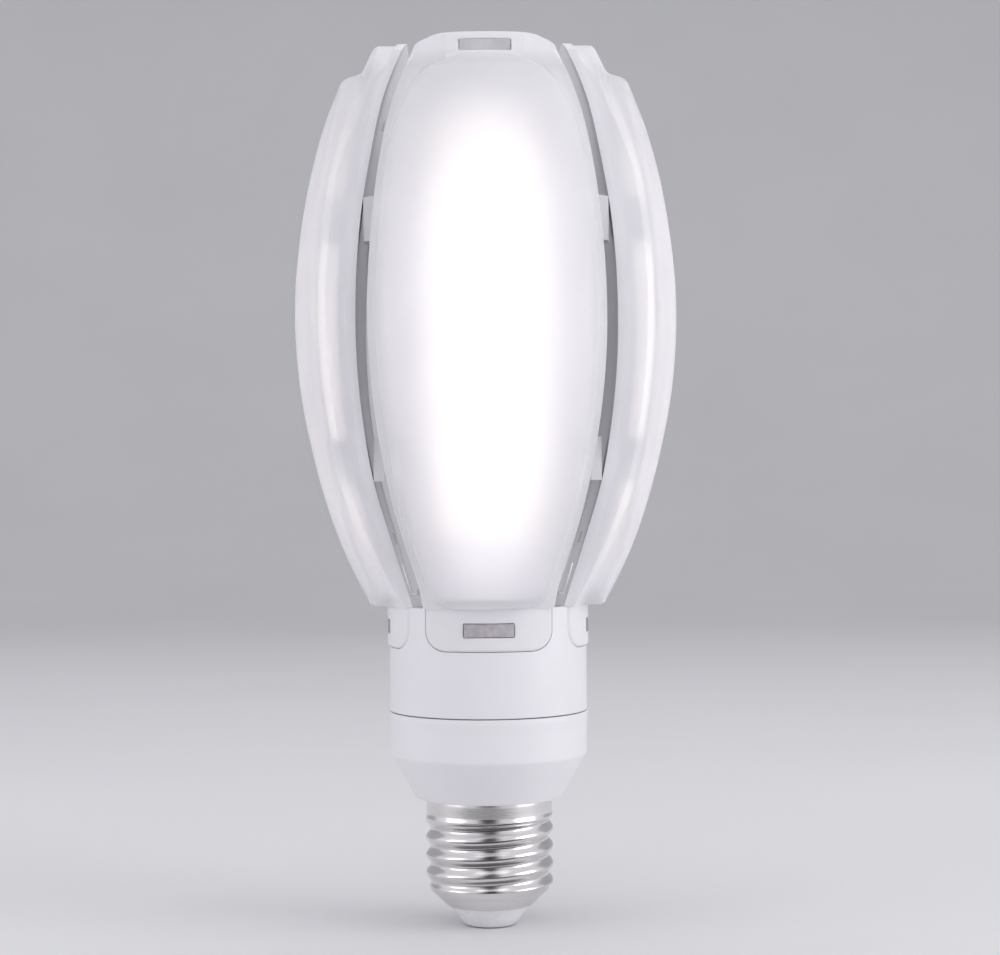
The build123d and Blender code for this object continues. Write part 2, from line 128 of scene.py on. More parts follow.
def outer_sections():
    """Stations up the petal: z, and the share by which the dome's face drops to the flange there."""
    out = []
    zs = []
    n = 92
    for i in range(n + 1):
        zs.append(68.0 + (172.5 - 68.0) * i / n)
    low = [(66.0, 0.27), (66.05, 0.20), (66.14, 0.14), (66.28, 0.08), (66.48, 0.035),
           (66.75, 0.008), (67.1, 0.0), (67.5, 0.0)]
    high = [(172.9, 0.03), (173.3, 0.09), (173.6, 0.18), (173.85, 0.30), (174.05, 0.43),
            (174.2, 0.57), (174.34, 0.71), (174.5, 0.82), (174.7, 0.91), (174.95, 0.965),
            (175.25, 0.99), (175.6, 1.0)]
    for z, drop in low:
        out.append((z, drop))
    for z in zs:
        out.append((z, 0.0))
    for z, drop in high:
        out.append((z, drop))
    for z in (176.2, 176.9, 177.5, 177.9, 178.3, 178.6, 178.85, 179.05, 179.17, 179.25, 179.3):
        out.append((z, 1.0))
    return out


def arc_pts(cx, cy, r, a0, a1, n):
    return [(cx + r * math.cos(a0 + (a1 - a0) * i / n), cy + r * math.sin(a0 + (a1 - a0) * i / n))
            for i in range(n + 1)]


def section_outer(z, drop):
    """Half of the petal's outer cross-section from the back edge to the middle,
    as (x, y, z). The upper end of the dome is bowed: it lies lower at its sides."""
    near_end = smooth(158.0, 171.0, z) * smooth(178.4, 175.2, z)
    corner = end_round(z, 0.0, 179.3, 0.0, 5.5)
    top_in = max(0.0, (z - 178.6)) ** 2 * 0.8     # top edge rounds over
    t_back = half_w(z) - corner - top_in
    t = half_w(z - min(t_back * t_back / 62.0, 3.2) * near_end) - corner - top_in
    rim = RIM + 0.3 * smooth(148, 170, z)
    td = half_w(min(z, 174.4)) - rim - end_round(z, 66.0, 174.4, 5.0, 5.6)
    td = max(min(td, t - rim * 0.8), 1.0)

    def face(y, on_dome):
        """Point of the flange or dome at y, moved down with the bowed end."""
        zz = z - min(y * y / 62.0, 3.2) * near_end
        xs = flange_x(zz) - top_in * 1.1
        if not on_dome:
            r = xs + ARCH
        else:
            level = dome_x(min(max(zz, 66.9), 173.4))
            r = level * (1 - drop) + xs * drop + ARCH
        return -ARCH + math.sqrt(r * r - y * y), zz
    xb = back_x(z) + TRAY
    pts = []
    x_edge, z_edge = face(t, False)
    x_wall = x_edge - 0.45
    nwall = 7
    for i in range(nwall):
        u = i / (nwall - 1)
        pts.append((xb + (x_wall - xb) * u, t_back + (t - t_back) * u, z + (z_edge - z) * u))
    for a in (0.25, 0.5, 0.75, 1.0):
        ang = a * math.pi / 2
        pts.append((x_wall + 0.45 * math.sin(ang), t - 0.32 * (1 - math.cos(ang)), z_edge))
    gap0 = t - 0.32
    h = max(face(td, True)[0] - face(td, False)[0], 0.02)    # height of the dome's side
    f = min(1.0, 0.8 * (gap0 - td), 0.42 * h)                # fillet at its foot
    for a in (0.5, 1.0):
        y = gap0 + (td + f - gap0) * a
        x, zz = face(y, False)
        pts.append((x, y, zz))
    r = min(1.1, h * 0.55)
    foot, z_td = face(td, False)
    for a in (0.3, 0.62, 1.0):
        ang = a * math.pi / 2
        pts.append((foot + f - f * math.cos(ang), td + f - f * math.sin(ang), z_td))
    for a in (0.0, 0.2, 0.4, 0.6, 0.8, 1.0):
        ang = a * math.pi / 2
        y = td - r * (1 - math.cos(ang))
        base = foot + (h - r) + r * math.sin(ang)
        full, zz = face(y, True)
        w = smooth(0.3, 1.0, a)
        pts.append((min(base, full) * (1 - w) + full * w if h > 0.2 else full, y, zz))
    y1 = td - r
    for i in range(1, 15):
        y = y1 * (1 - i / 14)
        x, zz = face(y, True)
        pts.append((x, y, zz))
    return pts


def section_inner(z):
    """Half of the cavity's cross-section with as many stations."""
    w = 1.5
    t = half_w(z) - w - end_round(z, 0.0, 177.7, 0.0, 3.4)
    xb = back_x(z) + TRAY
    if z < 172.0 and z > 68.0:
        xf = dome_x(z) - 1.6
        td = half_w(z) - RIM - 1.35 - 0.3 * smooth(148, 170, z) - end_round(z, 67.4, 172.4, 3.8, 7.5)
    else:
        xf = flange_x(z) - 1.6
        td = t
    td = min(td, t)
    r = xf + ARCH
    pts = []
    x_wall = -ARCH + math.sqrt(r * r - td * td) - 0.6
    for i in range(7):
        u = i / 6
        pts.append((xb + (x_wall - xb) * u, t + (td - t) * smooth(0, 1, u)))
    for a in (0.33, 0.66, 1.0):
        ang = a * math.pi / 2
        y = td - 0.6 * (1 - math.cos(ang))
        pts.append((x_wall + 0.6 * math.sin(ang), y))
    y1 = td - 0.6
    for i in range(1, 9):
        y = y1 * (1 - i / 8)
        pts.append((-ARCH + math.sqrt(r * r - y * y), y))
    return pts


def grid_piece(sections):
    """Half sections mirrored to the full width."""
    return [pts + [(x, -y, z) for x, y, z in pts[-2::-1]] for pts in sections]


def lens_mesh():
    outer = grid_piece([section_outer(z, d) for z, d in outer_sections()])
    zin = [67.6, 67.7, 67.9, 68.2] + [68.8 + (171.98 - 68.8) * i / 60 for i in range(61)] + \
          [172.12, 172.4, 173.2, 174.5, 175.8, 176.6, 177.1, 177.45, 177.65, 177.7]
    inner = grid_piece([[(x, y, z) for x, y in section_inner(z)] for z in zin])
    bm = bmesh.new()

    def skin(rows, flip):
        vr = [[bm.verts.new((x * MM, y * MM, z * MM)) for x, y, z in r] for r in rows]
        def face(vs):
            bm.faces.new(vs[::-1] if flip else vs)
        for a, b in zip(vr, vr[1:]):
            for i in range(len(a) - 1):
                face([a[i], b[i], b[i + 1], a[i + 1]])
        for row, up in ((vr[0], False), (vr[-1], True)):
            n = len(row)
            h = n // 2
            for i in range(h):
                q = [row[i], row[i + 1], row[n - 2 - i], row[n - 1 - i]]
                if i == h - 1:
                    q = [row[i], row[i + 1], row[n - 1 - i]]
                face(q[::-1] if not up else q)
        return vr
    vo = skin(outer, False)
    vi = skin(inner, True)

    def ladder(lo, li):
        """Bridge two edge chains with different counts, by height."""
        i = j = 0
        while i < len(lo) - 1 or j < len(li) - 1:
            zo = lo[i + 1].co.z if i < len(lo) - 1 else 1e9
            zi = li[j + 1].co.z if j < len(li) - 1 else 1e9
            if zo <= zi:
                bm.faces.new([lo[i], lo[i + 1], li[j]])
                i += 1
            else:
                bm.faces.new([lo[i], li[j + 1], li[j]])
                j += 1
    ladder([r[0] for r in vo], [r[0] for r in vi])
    ladder([r[-1] for r in vo], [r[-1] for r in vi])
    bm.faces.new([vo[-1][0], vo[-1][-1], vi[-1][-1], vi[-1][0]])
    bm.faces.new([vo[0][0], vo[0][-1], vi[0][-1], vi[0][0]])
    bmesh.ops.remove_doubles(bm, verts=bm.verts, dist=1e-7)
    bmesh.ops.recalc_face_normals(bm, faces=bm.faces)
    return bm


def bm_object(bm, name):
    me = bpy.data.meshes.new(name)
    bm.to_mesh(me)
    bm.free()
    ob = bpy.data.objects.new(name, me)
    bpy.context.scene.collection.objects.link(ob)
    return ob


def apply_mods(ob):
    dg = bpy.context.evaluated_depsgraph_get()
    me = bpy.data.meshes.new_from_object(ob.evaluated_get(dg))
    ob.modifiers.clear()
    old = ob.data
    ob.data = me
    bpy.data.meshes.remove(old)


def boolean(ob, other, op):
    m = ob.modifiers.new("b", "BOOLEAN")
    m.operation = op
    m.solver = "EXACT"
    m.object = other
    apply_mods(ob)
    me = other.data
    bpy.data.objects.remove(other)
    bpy.data.meshes.remove(me)


def shade(ob, angle=32.0):
    me = ob.data
    me.shade_smooth()
    bm = bmesh.new()
    bm.from_mesh(me)
    lim = math.radians(angle)
    for e in bm.edges:
        e.smooth = not (len(e.link_faces) == 2 and e.calc_face_angle(0) > lim)
    bm.to_mesh(me)
    bm.free()


def block(name, lo, hi, bevel=0.0, seg=3):
    """A box built in mesh code with rounded edges, corners in mm."""
    bm = bmesh.new()
    v = [bm.verts.new(((hi if i & 1 else lo)[0] * MM, (hi if i & 2 else lo)[1] * MM,
                       (hi if i & 4 else lo)[2] * MM)) for i in range(8)]
    for q in ((0, 2, 3, 1), (4, 5, 7, 6), (0, 1, 5, 4), (2, 6, 7, 3), (0, 4, 6, 2), (1, 3, 7, 5)):
        bm.faces.new([v[i] for i in q])
    if bevel > 0:
        bmesh.ops.bevel(bm, geom=bm.edges[:], offset=bevel * MM, segments=seg,
                        affect="EDGES", profile=0.5)
    bmesh.ops.recalc_face_normals(bm, faces=bm.faces)
    return bm_object(bm, name)


def tab_mesh(name, r0, r1, half, z0, z1, corner, edge):
    """Curved tongue on the neck: plate between radii r0 and r1 with rounded
    lower corners and a rounded outer rim."""
    cols, arc = 30, 9

    def places(inset):
        """Rows of (y, z) from the top down to the lower edge."""
        c, h, zb = corner - inset, half - inset, z0 + inset
        rows = [(h, z1 + (z0 + corner - z1) * j / 4) for j in range(4)]
        rows += [(h - c + c * math.cos(k / arc * math.pi / 2), zb + c - c * math.sin(k / arc * math.pi / 2))
                 for k in range(arc + 1)]
        return [[(w * (1 - 2 * k / cols), z) for k in range(cols + 1)] for w, z in rows]
    bm = bmesh.new()

    def put(r, y, z):
        return bm.verts.new((math.sqrt(r * r - y * y) * MM, y * MM, z * MM))

    def rim(rows):
        loop = list(rows[0])
        loop += [row[-1] for row in rows[1:]]
        loop += list(rows[-1])[-2::-1]
        loop += [row[0] for row in rows[-2:0:-1]]
        return loop
    g0 = [[put(r0, y, z) for y, z in row] for row in places(0.0)]
    g1 = [[put(r1, y, z) for y, z in row] for row in places(edge)]
    for g in (g0, g1):
        for a, b in zip(g, g[1:]):
            for k in range(cols):
                bm.faces.new([a[k], a[k + 1], b[k + 1], b[k]])
    loops = [rim(g0)]
    for down, inset in ((edge, 0.0), (edge * 0.6, edge * 0.08), (edge * 0.3, edge * 0.3),
                        (edge * 0.08, edge * 0.6)):
        loops.append([put(r1 - down, y, z) for y, z in rim(places(inset))])
    loops.append(rim(g1))
    for a, b in zip(loops, loops[1:]):
        for i in range(len(a)):
            j = (i + 1) % len(a)
            bm.faces.new([a[i], a[j], b[j], b[i]])
    bmesh.ops.recalc_face_normals(bm, faces=bm.faces)
    return bm_object(bm, name)


# ----------------------------------------------------------------- materials
def new_mat(name):
    m = bpy.data.materials.new(name)
    m.use_nodes = True
    nt = m.node_tree
    nt.nodes.clear()
    out = nt.nodes.new("ShaderNodeOutputMaterial")
    p = nt.nodes.new("ShaderNodeBsdfPrincipled")
    nt.links.new(p.outputs["BSDF"], out.inputs["Surface"])
    co = nt.nodes.new("ShaderNodeTexCoord")
    return m, nt, p, co


def noise(nt, co, scale, detail=3.0, rough=0.5, stretch=None):
    n = nt.nodes.new("ShaderNodeTexNoise")
    n.inputs["Scale"].default_value = scale
    n.inputs["Detail"].default_value = detail
    n.inputs["Roughness"].default_value = rough
    src = co.outputs["Object"]
    if stretch:
        mp = nt.nodes.new("ShaderNodeMapping")
        mp.inputs["Scale"].default_value = stretch
        nt.links.new(src, mp.inputs["Vector"])
        src = mp.outputs["Vector"]
    nt.links.new(src, n.inputs["Vector"])
    return n.outputs["Fac"]


def ramp(nt, fac, stops):
    r = nt.nodes.new("ShaderNodeValToRGB")
    els = r.color_ramp.elements
    while len(els) > 1:
        els.remove(els[-1])
    els[0].position = stops[0][0]
    els[0].color = (*stops[0][1], 1)
    for pos, col in stops[1:]:
        e = els.new(pos)
        e.color = (*col, 1)
    nt.links.new(fac, r.inputs["Fac"])
    return r.outputs["Color"]


def remap(nt, fac, a, b, lo, hi):
    r = nt.nodes.new("ShaderNodeMapRange")
    r.inputs["From Min"].default_value = a
    r.inputs["From Max"].default_value = b
    r.inputs["To Min"].default_value = lo
    r.inputs["To Max"].default_value = hi
    nt.links.new(fac, r.inputs["Value"])
    return r.outputs["Result"]


def bump(nt, p, height, strength, dist):
    b = nt.nodes.new("ShaderNodeBump")
    b.inputs["Strength"].default_value = strength
    b.inputs["Distance"].default_value = dist
    nt.links.new(height, b.inputs["Height"])
    nt.links.new(b.outputs["Normal"], p.inputs["Normal"])


def op(nt, kind, a, b=None):
    m = nt.nodes.new("ShaderNodeMath")
    m.operation = kind
    for i, x in enumerate((a, b)):
        if x is None:
            continue
        if isinstance(x, (int, float)):
            m.inputs[i].default_value = x
        else:
            nt.links.new(x, m.inputs[i])
    return m.outputs[0]


def petal_coords(nt, co):
    """A petal's own coordinates: across it, out from the lamp's axis, height."""
    sep = nt.nodes.new("ShaderNodeSeparateXYZ")
    nt.links.new(co.outputs["Object"], sep.inputs[0])
    ax, ay = op(nt, "ABSOLUTE", sep.outputs[0]), op(nt, "ABSOLUTE", sep.outputs[1])
    return op(nt, "MINIMUM", ax, ay), op(nt, "MAXIMUM", ax, ay), sep.outputs[2]


def soft_range(nt, x, a, b, lo, hi):
    r = nt.nodes.new("ShaderNodeMapRange")
    r.interpolation_type = "SMOOTHSTEP"
    r.inputs["From Min"].default_value = a
    r.inputs["From Max"].default_value = b
    r.inputs["To Min"].default_value = lo
    r.inputs["To Max"].default_value = hi
    nt.links.new(x, r.inputs["Value"])
    return r.outputs["Result"]


def petal_half(nt, z):
    """Half-width of the petal at a height, in metres."""
    c = nt.nodes.new("ShaderNodeFloatCurve")
    pts = c.mapping.curves[0].points
    spots = [(zz, half_w(zz)) for zz in (66, 76, 86, 97, 108, 120, 130, 141, 153, 164, 172, 180)]
    pts[0].location = (0.0, spots[0][1] / 25.0)
    pts[1].location = (1.0, spots[-1][1] / 25.0)
    for zz, w in spots[1:-1]:
        pts.new((zz - 66.0) / 114.0, w / 25.0)
    c.mapping.update()
    nt.links.new(op(nt, "MULTIPLY", op(nt, "ADD", z, -0.066), 1 / 0.114), c.inputs["Value"])
    return op(nt, "MULTIPLY", c.outputs["Value"], 0.025)


def glow(nt, across, z):
    """Light of the LED rows: full in the middle, fading in a long oval. On the LED chips it is their own light; on the
    board, trays, leads and screws it is painted glow.
    """
    u2 = op(nt, "POWER", op(nt, "DIVIDE", across, op(nt, "MULTIPLY", petal_half(nt, z), 0.74)), 2.0)
    w2 = op(nt, "POWER", op(nt, "ABSOLUTE", op(nt, "MULTIPLY", op(nt, "ADD", z, -0.1152), 1 / 0.0558)), 4.0)
    return soft_range(nt, op(nt, "ADD", u2, w2), 0.0, 1.15, 1.0, 0.0)


def plastic(name, a, b, rough, scale=90.0, bump_d=0.00002, strength=0.3, spec=0.5):
    m, nt, p, co = new_mat(name)
    nt.links.new(ramp(nt, noise(nt, co, scale, 4), [(0.35, a), (0.68, b)]), p.inputs["Base Color"])
    nt.links.new(remap(nt, noise(nt, co, scale * 5, 2), 0.3, 0.7, rough - 0.05, rough + 0.05),
                 p.inputs["Roughness"])
    p.inputs["Specular IOR Level"].default_value = spec
    bump(nt, p, noise(nt, co, 2600.0, 2), strength, bump_d)
    return m


def metal(name, a, b, r0, r1, stretch, scale=60.0, bump_d=0.00002, strength=0.35):
    m, nt, p, co = new_mat(name)
    p.inputs["Metallic"].default_value = 1.0
    nt.links.new(ramp(nt, noise(nt, co, scale, 5, 0.6, stretch), [(0.3, a), (0.7, b)]),
                 p.inputs["Base Color"])
    nt.links.new(remap(nt, noise(nt, co, scale * 2.2, 4, 0.6, stretch), 0.3, 0.7, r0, r1),
                 p.inputs["Roughness"])
    bump(nt, p, noise(nt, co, scale * 9, 3, 0.5, stretch), strength, bump_d)
    return m


def lens_material():
    m, nt, p, co = new_mat("frosted_lens")
    nt.links.new(ramp(nt, noise(nt, co, 45.0, 3), [(0.3, (0.875, 0.862, 0.89)), (0.7, (0.905, 0.894, 0.92))]),
                 p.inputs["Base Color"])
    nt.links.new(remap(nt, noise(nt, co, 400.0, 2), 0.3, 0.7, 0.84, 0.90), p.inputs["Roughness"])
    p.inputs["IOR"].default_value = 1.42
    across, out, z = petal_coords(nt, co)
    # clear enough to glow over the LEDs, denser at its rim, its foot and its top end
    dz = op(nt, "ADD", z, -0.124)
    face = op(nt, "SUBTRACT", 0.0266, op(nt, "MULTIPLY", op(nt, "MULTIPLY", dz, dz), 3.25))
    clear = op(nt, "MULTIPLY", soft_range(nt, z, 0.0650, 0.0675, 0.0, 0.25),
               soft_range(nt, op(nt, "SUBTRACT", out, face), 0.0008, 0.0045, 0.0, 1.0))
    clear = op(nt, "MULTIPLY", clear, soft_range(nt, z, 0.1720, 0.1765, 1.0, 0.15))
    nt.links.new(op(nt, "ADD", clear, 0.12), p.inputs["Transmission Weight"])
    p.inputs["Coat Weight"].default_value = 0.10
    p.inputs["Specular IOR Level"].default_value = 0.35
    p.inputs["Coat Roughness"].default_value = 0.32
    bump(nt, p, noise(nt, co, 3200.0, 2), 0.18, 0.00002)
    return m


MAT = {}
MAT["lens"] = lens_material()
MAT["body"] = plastic("lamp_body", (0.80, 0.79, 0.82), (0.82, 0.81, 0.84), 0.42)
# the tray's colour; painted glow is added to this material further down
MAT["tray"] = plastic("petal_tray", (0.765, 0.757, 0.785), (0.80, 0.79, 0.82), 0.5)
MAT["bridge"] = plastic("petal_bridge", (0.54, 0.53, 0.55), (0.58, 0.57, 0.59), 0.5)
MAT["clip"] = plastic("clip_grey", (0.40, 0.375, 0.395), (0.54, 0.51, 0.535), 0.55, scale=900.0,
                      bump_d=0.00004, strength=0.6)
MAT["clip_top"] = plastic("clip_grey_pale", (0.54, 0.525, 0.55), (0.61, 0.595, 0.615), 0.55, scale=320.0)
MAT["insul"] = plastic("cap_insulator", (0.80, 0.79, 0.81), (0.84, 0.83, 0.85), 0.25, scale=160.0)
MAT["nickel"] = metal("cap_nickel", (0.74, 0.715, 0.715), (0.86, 0.835, 0.84), 0.16, 0.26, (1, 1, 14))
MAT["contact"] = metal("contact_metal", (0.55, 0.53, 0.52), (0.70, 0.68, 0.67), 0.22, 0.34, (1, 1, 1), 220.0)
# the screws' steel also carries painted glow inside the petal, added further down
MAT["steel"] = metal("screw_steel", (0.76, 0.76, 0.77), (0.84, 0.84, 0.85), 0.35, 0.5, (1, 1, 4), 300.0)
MAT["core"] = plastic("ferrite", (0.05, 0.05, 0.055), (0.09, 0.09, 0.095), 0.6, 300.0)
MAT["tape"] = plastic("winding_tape", (0.70, 0.50, 0.05), (0.85, 0.64, 0.12), 0.3, 200.0)
MAT["copper"] = metal("copper_wire", (0.55, 0.22, 0.08), (0.80, 0.38, 0.18), 0.2, 0.35, (1, 1, 60), 60.0)
MAT["sleeve"] = plastic("capacitor_sleeve", (0.02, 0.02, 0.03), (0.05, 0.05, 0.07), 0.25, 150.0)
MAT["film"] = plastic("film_case", (0.50, 0.07, 0.03), (0.62, 0.10, 0.05), 0.35, 150.0)
MAT["epoxy"] = plastic("black_epoxy", (0.02, 0.02, 0.02), (0.04, 0.04, 0.04), 0.5, 400.0)
MAT["resistor"] = plastic("resistor_body", (0.10, 0.20, 0.16), (0.16, 0.28, 0.22), 0.5, 300.0)
# the petal leads' insulation also carries painted glow, added further down
MAT["lit_lead"] = plastic("petal_lead_insulation_painted_glow", (0.74, 0.73, 0.72), (0.80, 0.79, 0.78), 0.4, 150.0)
MAT["lead"] = plastic("lead_insulation", (0.66, 0.65, 0.62), (0.74, 0.73, 0.70), 0.4, 150.0)
MAT["fr4"] = plastic("circuit_board", (0.02, 0.10, 0.04), (0.04, 0.17, 0.07), 0.35, 500.0)


# emission: the LED chips' own light, and painted glow on the board, trays, leads and screws
def lit(p, nt, strength, color=(1.0, 0.985, 0.99, 1)):
    p.inputs["Emission Color"].default_value = color
    nt.links.new(strength, p.inputs["Emission Strength"])


def paint_glow_on_trays():
    """Painted glow: emission on the white tray stands in for the light of the LEDs inside the petal that it shines
    back, and for the little of it that it lets through to the channel behind."""
    nt = MAT["tray"].node_tree
    p = next(n for n in nt.nodes if n.type == "BSDF_PRINCIPLED")
    co = next(n for n in nt.nodes if n.type == "TEX_COORD")
    across, out, z = petal_coords(nt, co)
    dz = op(nt, "ADD", z, -0.124)
    face = op(nt, "SUBTRACT", 0.0266, op(nt, "MULTIPLY", op(nt, "MULTIPLY", dz, dz), 3.25))
    inside = op(nt, "GREATER_THAN", out, face)
    behind = op(nt, "SUBTRACT", 1.0, inside)
    # painted glow on the tray's back outside the lens, standing in for LED light leaking through into the channel
    # behind
    painted_leak_glow = op(nt, "MULTIPLY", op(nt, "MULTIPLY", dz, dz), 50.0)
    painted_leak_glow = op(nt, "MULTIPLY", op(nt, "MINIMUM", op(nt, "ADD", painted_leak_glow, 0.01), 0.12),
              op(nt, "MULTIPLY", behind, soft_range(nt, across, 0.010, 0.015, 1.0, 0.0)))
    # painted glow: the tray's own rim, close to the wall of the lens, is made the brightest of it
    room = op(nt, "SUBTRACT", petal_half(nt, z), across)
    edge = op(nt, "MULTIPLY", soft_range(nt, room, 0.0070, 0.0035, 0.0, 0.25),
              op(nt, "MULTIPLY", op(nt, "GREATER_THAN", room, 0.0017),
                 soft_range(nt, z, 0.170, 0.1745, 1.0, 0.0)))
    # painted glow on the tray's front inside the lens, standing in for the LED light it shines back
    front = op(nt, "MAXIMUM", op(nt, "MULTIPLY", glow(nt, across, z), 1.85), edge)
    # and painted glow on its side stands in for a little of that light passing through, less and less towards its back
    side = op(nt, "MULTIPLY", soft_range(nt, op(nt, "SUBTRACT", out, face), -0.0012, 0.0012, 0.0, 0.05),
              op(nt, "MULTIPLY", op(nt, "LESS_THAN", room, 0.0017),
                 soft_range(nt, z, 0.172, 0.178, 1.0, 0.25)))
    lit(p, nt, op(nt, "ADD", op(nt, "ADD", op(nt, "MULTIPLY", front, inside), side), painted_leak_glow))


def paint_glow_inside(mat, level):
    """Painted glow: small parts inside the petal get emission that stands in for the full light of the LEDs falling on
    them.
    """
    nt = mat.node_tree
    p = next(n for n in nt.nodes if n.type == "BSDF_PRINCIPLED")
    co = next(n for n in nt.nodes if n.type == "TEX_COORD")
    across, out, z = petal_coords(nt, co)
    dz = op(nt, "ADD", z, -0.124)
    face = op(nt, "SUBTRACT", 0.0271, op(nt, "MULTIPLY", op(nt, "MULTIPLY", dz, dz), 3.25))
    inside = op(nt, "GREATER_THAN", out, face)
    lit(p, nt, op(nt, "MULTIPLY", op(nt, "MULTIPLY", glow(nt, across, z), inside), level))
    return mat


def board_material():
    m, nt, p, co = new_mat("board_white_painted_glow")
    nt.links.new(ramp(nt, noise(nt, co, 200.0, 3), [(0.3, (0.86, 0.86, 0.84)), (0.7, (0.92, 0.92, 0.90))]),
                 p.inputs["Base Color"])
    p.inputs["Roughness"].default_value = 0.5
    across, out, z = petal_coords(nt, co)
    # painted glow: emission on the white board stands in for the LEDs' light falling on it
    lit(p, nt, op(nt, "MULTIPLY", glow(nt, across, z), 2.2))
    return m


def chip_material():
    m, nt, p, co = new_mat("led_phosphor")
    nt.links.new(ramp(nt, noise(nt, co, 900.0, 3), [(0.3, (0.85, 0.70, 0.22)), (0.7, (0.95, 0.80, 0.32))]),
                 p.inputs["Base Color"])
    p.inputs["Roughness"].default_value = 0.35
    across, out, z = petal_coords(nt, co)
    lit(p, nt, op(nt, "MULTIPLY", glow(nt, across, z), 4.2), (1.0, 0.98, 0.95, 1))
    return m


# painted glow on the trays, the petal leads, the screws and the board; only the chips are LEDs
paint_glow_on_trays()
# painted glow on the petal leads and the screws
paint_glow_inside(MAT["lit_lead"], 1.8)
paint_glow_inside(MAT["steel"], 1.6)
MAT["board"] = board_material()
MAT["chips"] = chip_material()


def dress(ob, mat):
    ob.data.materials.clear()
    ob.data.materials.append(mat)


# ---------------------------------------------------------------- the petals
lens = bm_object(lens_mesh(), "lens_master")
tongue = tab_mesh("tongue", TAB_R - TAB_T, TAB_R, TAB_HALF, TAB_Z0, 66.5, 4.0, 0.62)
boolean(lens, tongue, "UNION")
boolean(lens, block("cut_low", (18.0, -5.15, 60.30), (22.5, 5.15, 63.20), 0.35), "DIFFERENCE")
boolean(lens, block("cut_high", (21.0, -5.15, 175.15), (27.0, 5.15, 177.75), 0.35), "DIFFERENCE")
shade(lens, 34)
dress(lens, MAT["lens"])
for name, az in PETALS:
    me = lens.data.copy()
    me.transform(Matrix.Rotation(math.radians(az), 4, "Z"))
    ob = bpy.data.objects.new("lens_cover_" + name, me)
    bpy.context.scene.collection.objects.link(ob)
    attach(ob, "root")
    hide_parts("lens_" + name)
master = lens.data
bpy.data.objects.remove(lens)
bpy.data.meshes.remove(master)


# ------------------------------------------------------- turned white pieces
def lathe(name, profile, seg=192, closed=True):
    """Turned piece from a closed (r, z) outline in mm."""
    bm = bmesh.new()
    rings = []
    for r, z in profile:
        if r < 1e-6:
            rings.append([bm.verts.new((0, 0, z * MM))])
        else:
            rings.append([bm.verts.new((r * math.cos(2 * math.pi * i / seg) * MM,
                                        r * math.sin(2 * math.pi * i / seg) * MM, z * MM))
                          for i in range(seg)])
    pairs = list(zip(rings, rings[1:] + rings[:1])) if closed else list(zip(rings, rings[1:]))
    for a, b in pairs:
        for i in range(seg):
            j = (i + 1) % seg
            if len(a) == 1 and len(b) == 1:
                continue
            if len(a) == 1:
                bm.faces.new([a[0], b[j], b[i]])
            elif len(b) == 1:
                bm.faces.new([a[i], a[j], b[0]])
            else:
                bm.faces.new([a[i], a[j], b[j], b[i]])
    bmesh.ops.recalc_face_normals(bm, faces=bm.faces)
    return bm_object(bm, name)


def rounded(points, radii, n=5):
    """Outline with its corners rounded, each by its own radius."""
    out = []
    m = len(points)
    for i, (p, r) in enumerate(zip(points, radii)):
        if r <= 0:
            out.append(p)
            continue
        a, b = Vector(points[i - 1]), Vector(points[(i + 1) % m])
        c = Vector(p)
        u, v = (a - c).normalized(), (b - c).normalized()
        ang = u.angle(v)
        d = min(r / math.tan(ang / 2), (a - c).length * 0.49, (b - c).length * 0.49)
        p0, p1 = c + u * d, c + v * d
        for k in range(n + 1):
            t = k / n
            q = p0 * (1 - t) ** 2 + c * 2 * t * (1 - t) + p1 * t ** 2
            out.append((q.x, q.y))
    return out


housing_line = rounded(
    [(12.98, 26.4), (15.05, 26.4), (15.55, 27.3), (20.10, 35.3), (20.17, 38.0), (20.25, 41.2),
     (20.40, 43.0), (20.40, 44.08), (17.8, 44.08), (17.8, 37.2), (14.8, 31.8), (12.78, 31.8),
     (12.78, 26.8)],
    [0.15, 0.5, 0.9, 1.6, 0, 1.2, 0.8, 0.14, 0.1, 0.5, 0.5, 0.1, 0.1])
housing = lathe("driver_housing_shell", housing_line)
shade(housing, 38)
dress(housing, MAT["body"])
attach(housing, "root")
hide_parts("driver_housing")

neck_line = rounded(
    [(16.4, 40.0), (17.7, 40.0), (17.7, 44.27), (20.25, 44.27), (20.25, 66.0), (6.0, 66.0), (0.0, 66.0),
     (0.0, 64.0), (16.4, 64.0)],
    [0.1, 0.1, 0, 0.22, 0.35, 0, 0, 0, 0.3])
neck = lathe("neck_shell", neck_line)
for name, az in PETALS:
    cut = tab_mesh("cut", TAB_R - TAB_T, 24.0, TAB_HALF + 0.04, TAB_Z0 - 0.09, 70.0, 4.04, 0.5)
    cut.data.transform(Matrix.Rotation(math.radians(az), 4, "Z"))
    boolean(neck, cut, "DIFFERENCE")
shade(neck, 34)
dress(neck, MAT["body"])
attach(neck, "root")
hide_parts("neck_frame")


# ----------------------------------------------------------------- screw cap
PITCH, ROOT, CREST, SKIRT = 3.629, 12.10, 13.13, 12.90
CROWN_Z = 8.99              # height of a crest at azimuth 0


def cap_radius(z, az):
    """Rolled thread: rounded crests and roots, fading in and out."""
    ph = (z - CROWN_Z) / PITCH - az / (2 * math.pi)
    w = ph - math.floor(ph + 0.5)                 # -0.5 .. 0.5, 0 at a crest
    wave = 0.5 + 0.5 * math.cos(2 * math.pi * w)
    wave = wave ** 0.92
    turn = (z - CROWN_Z) / PITCH
    lift = smooth(7.2, 9.0, z) * (1 - smooth(21.4, 23.4, z))
    base = ROOT + (SKIRT - ROOT) * smooth(21.2, 23.0, z)
    return base + (CREST - ROOT) * wave * lift * (1 - 0.0 * turn)


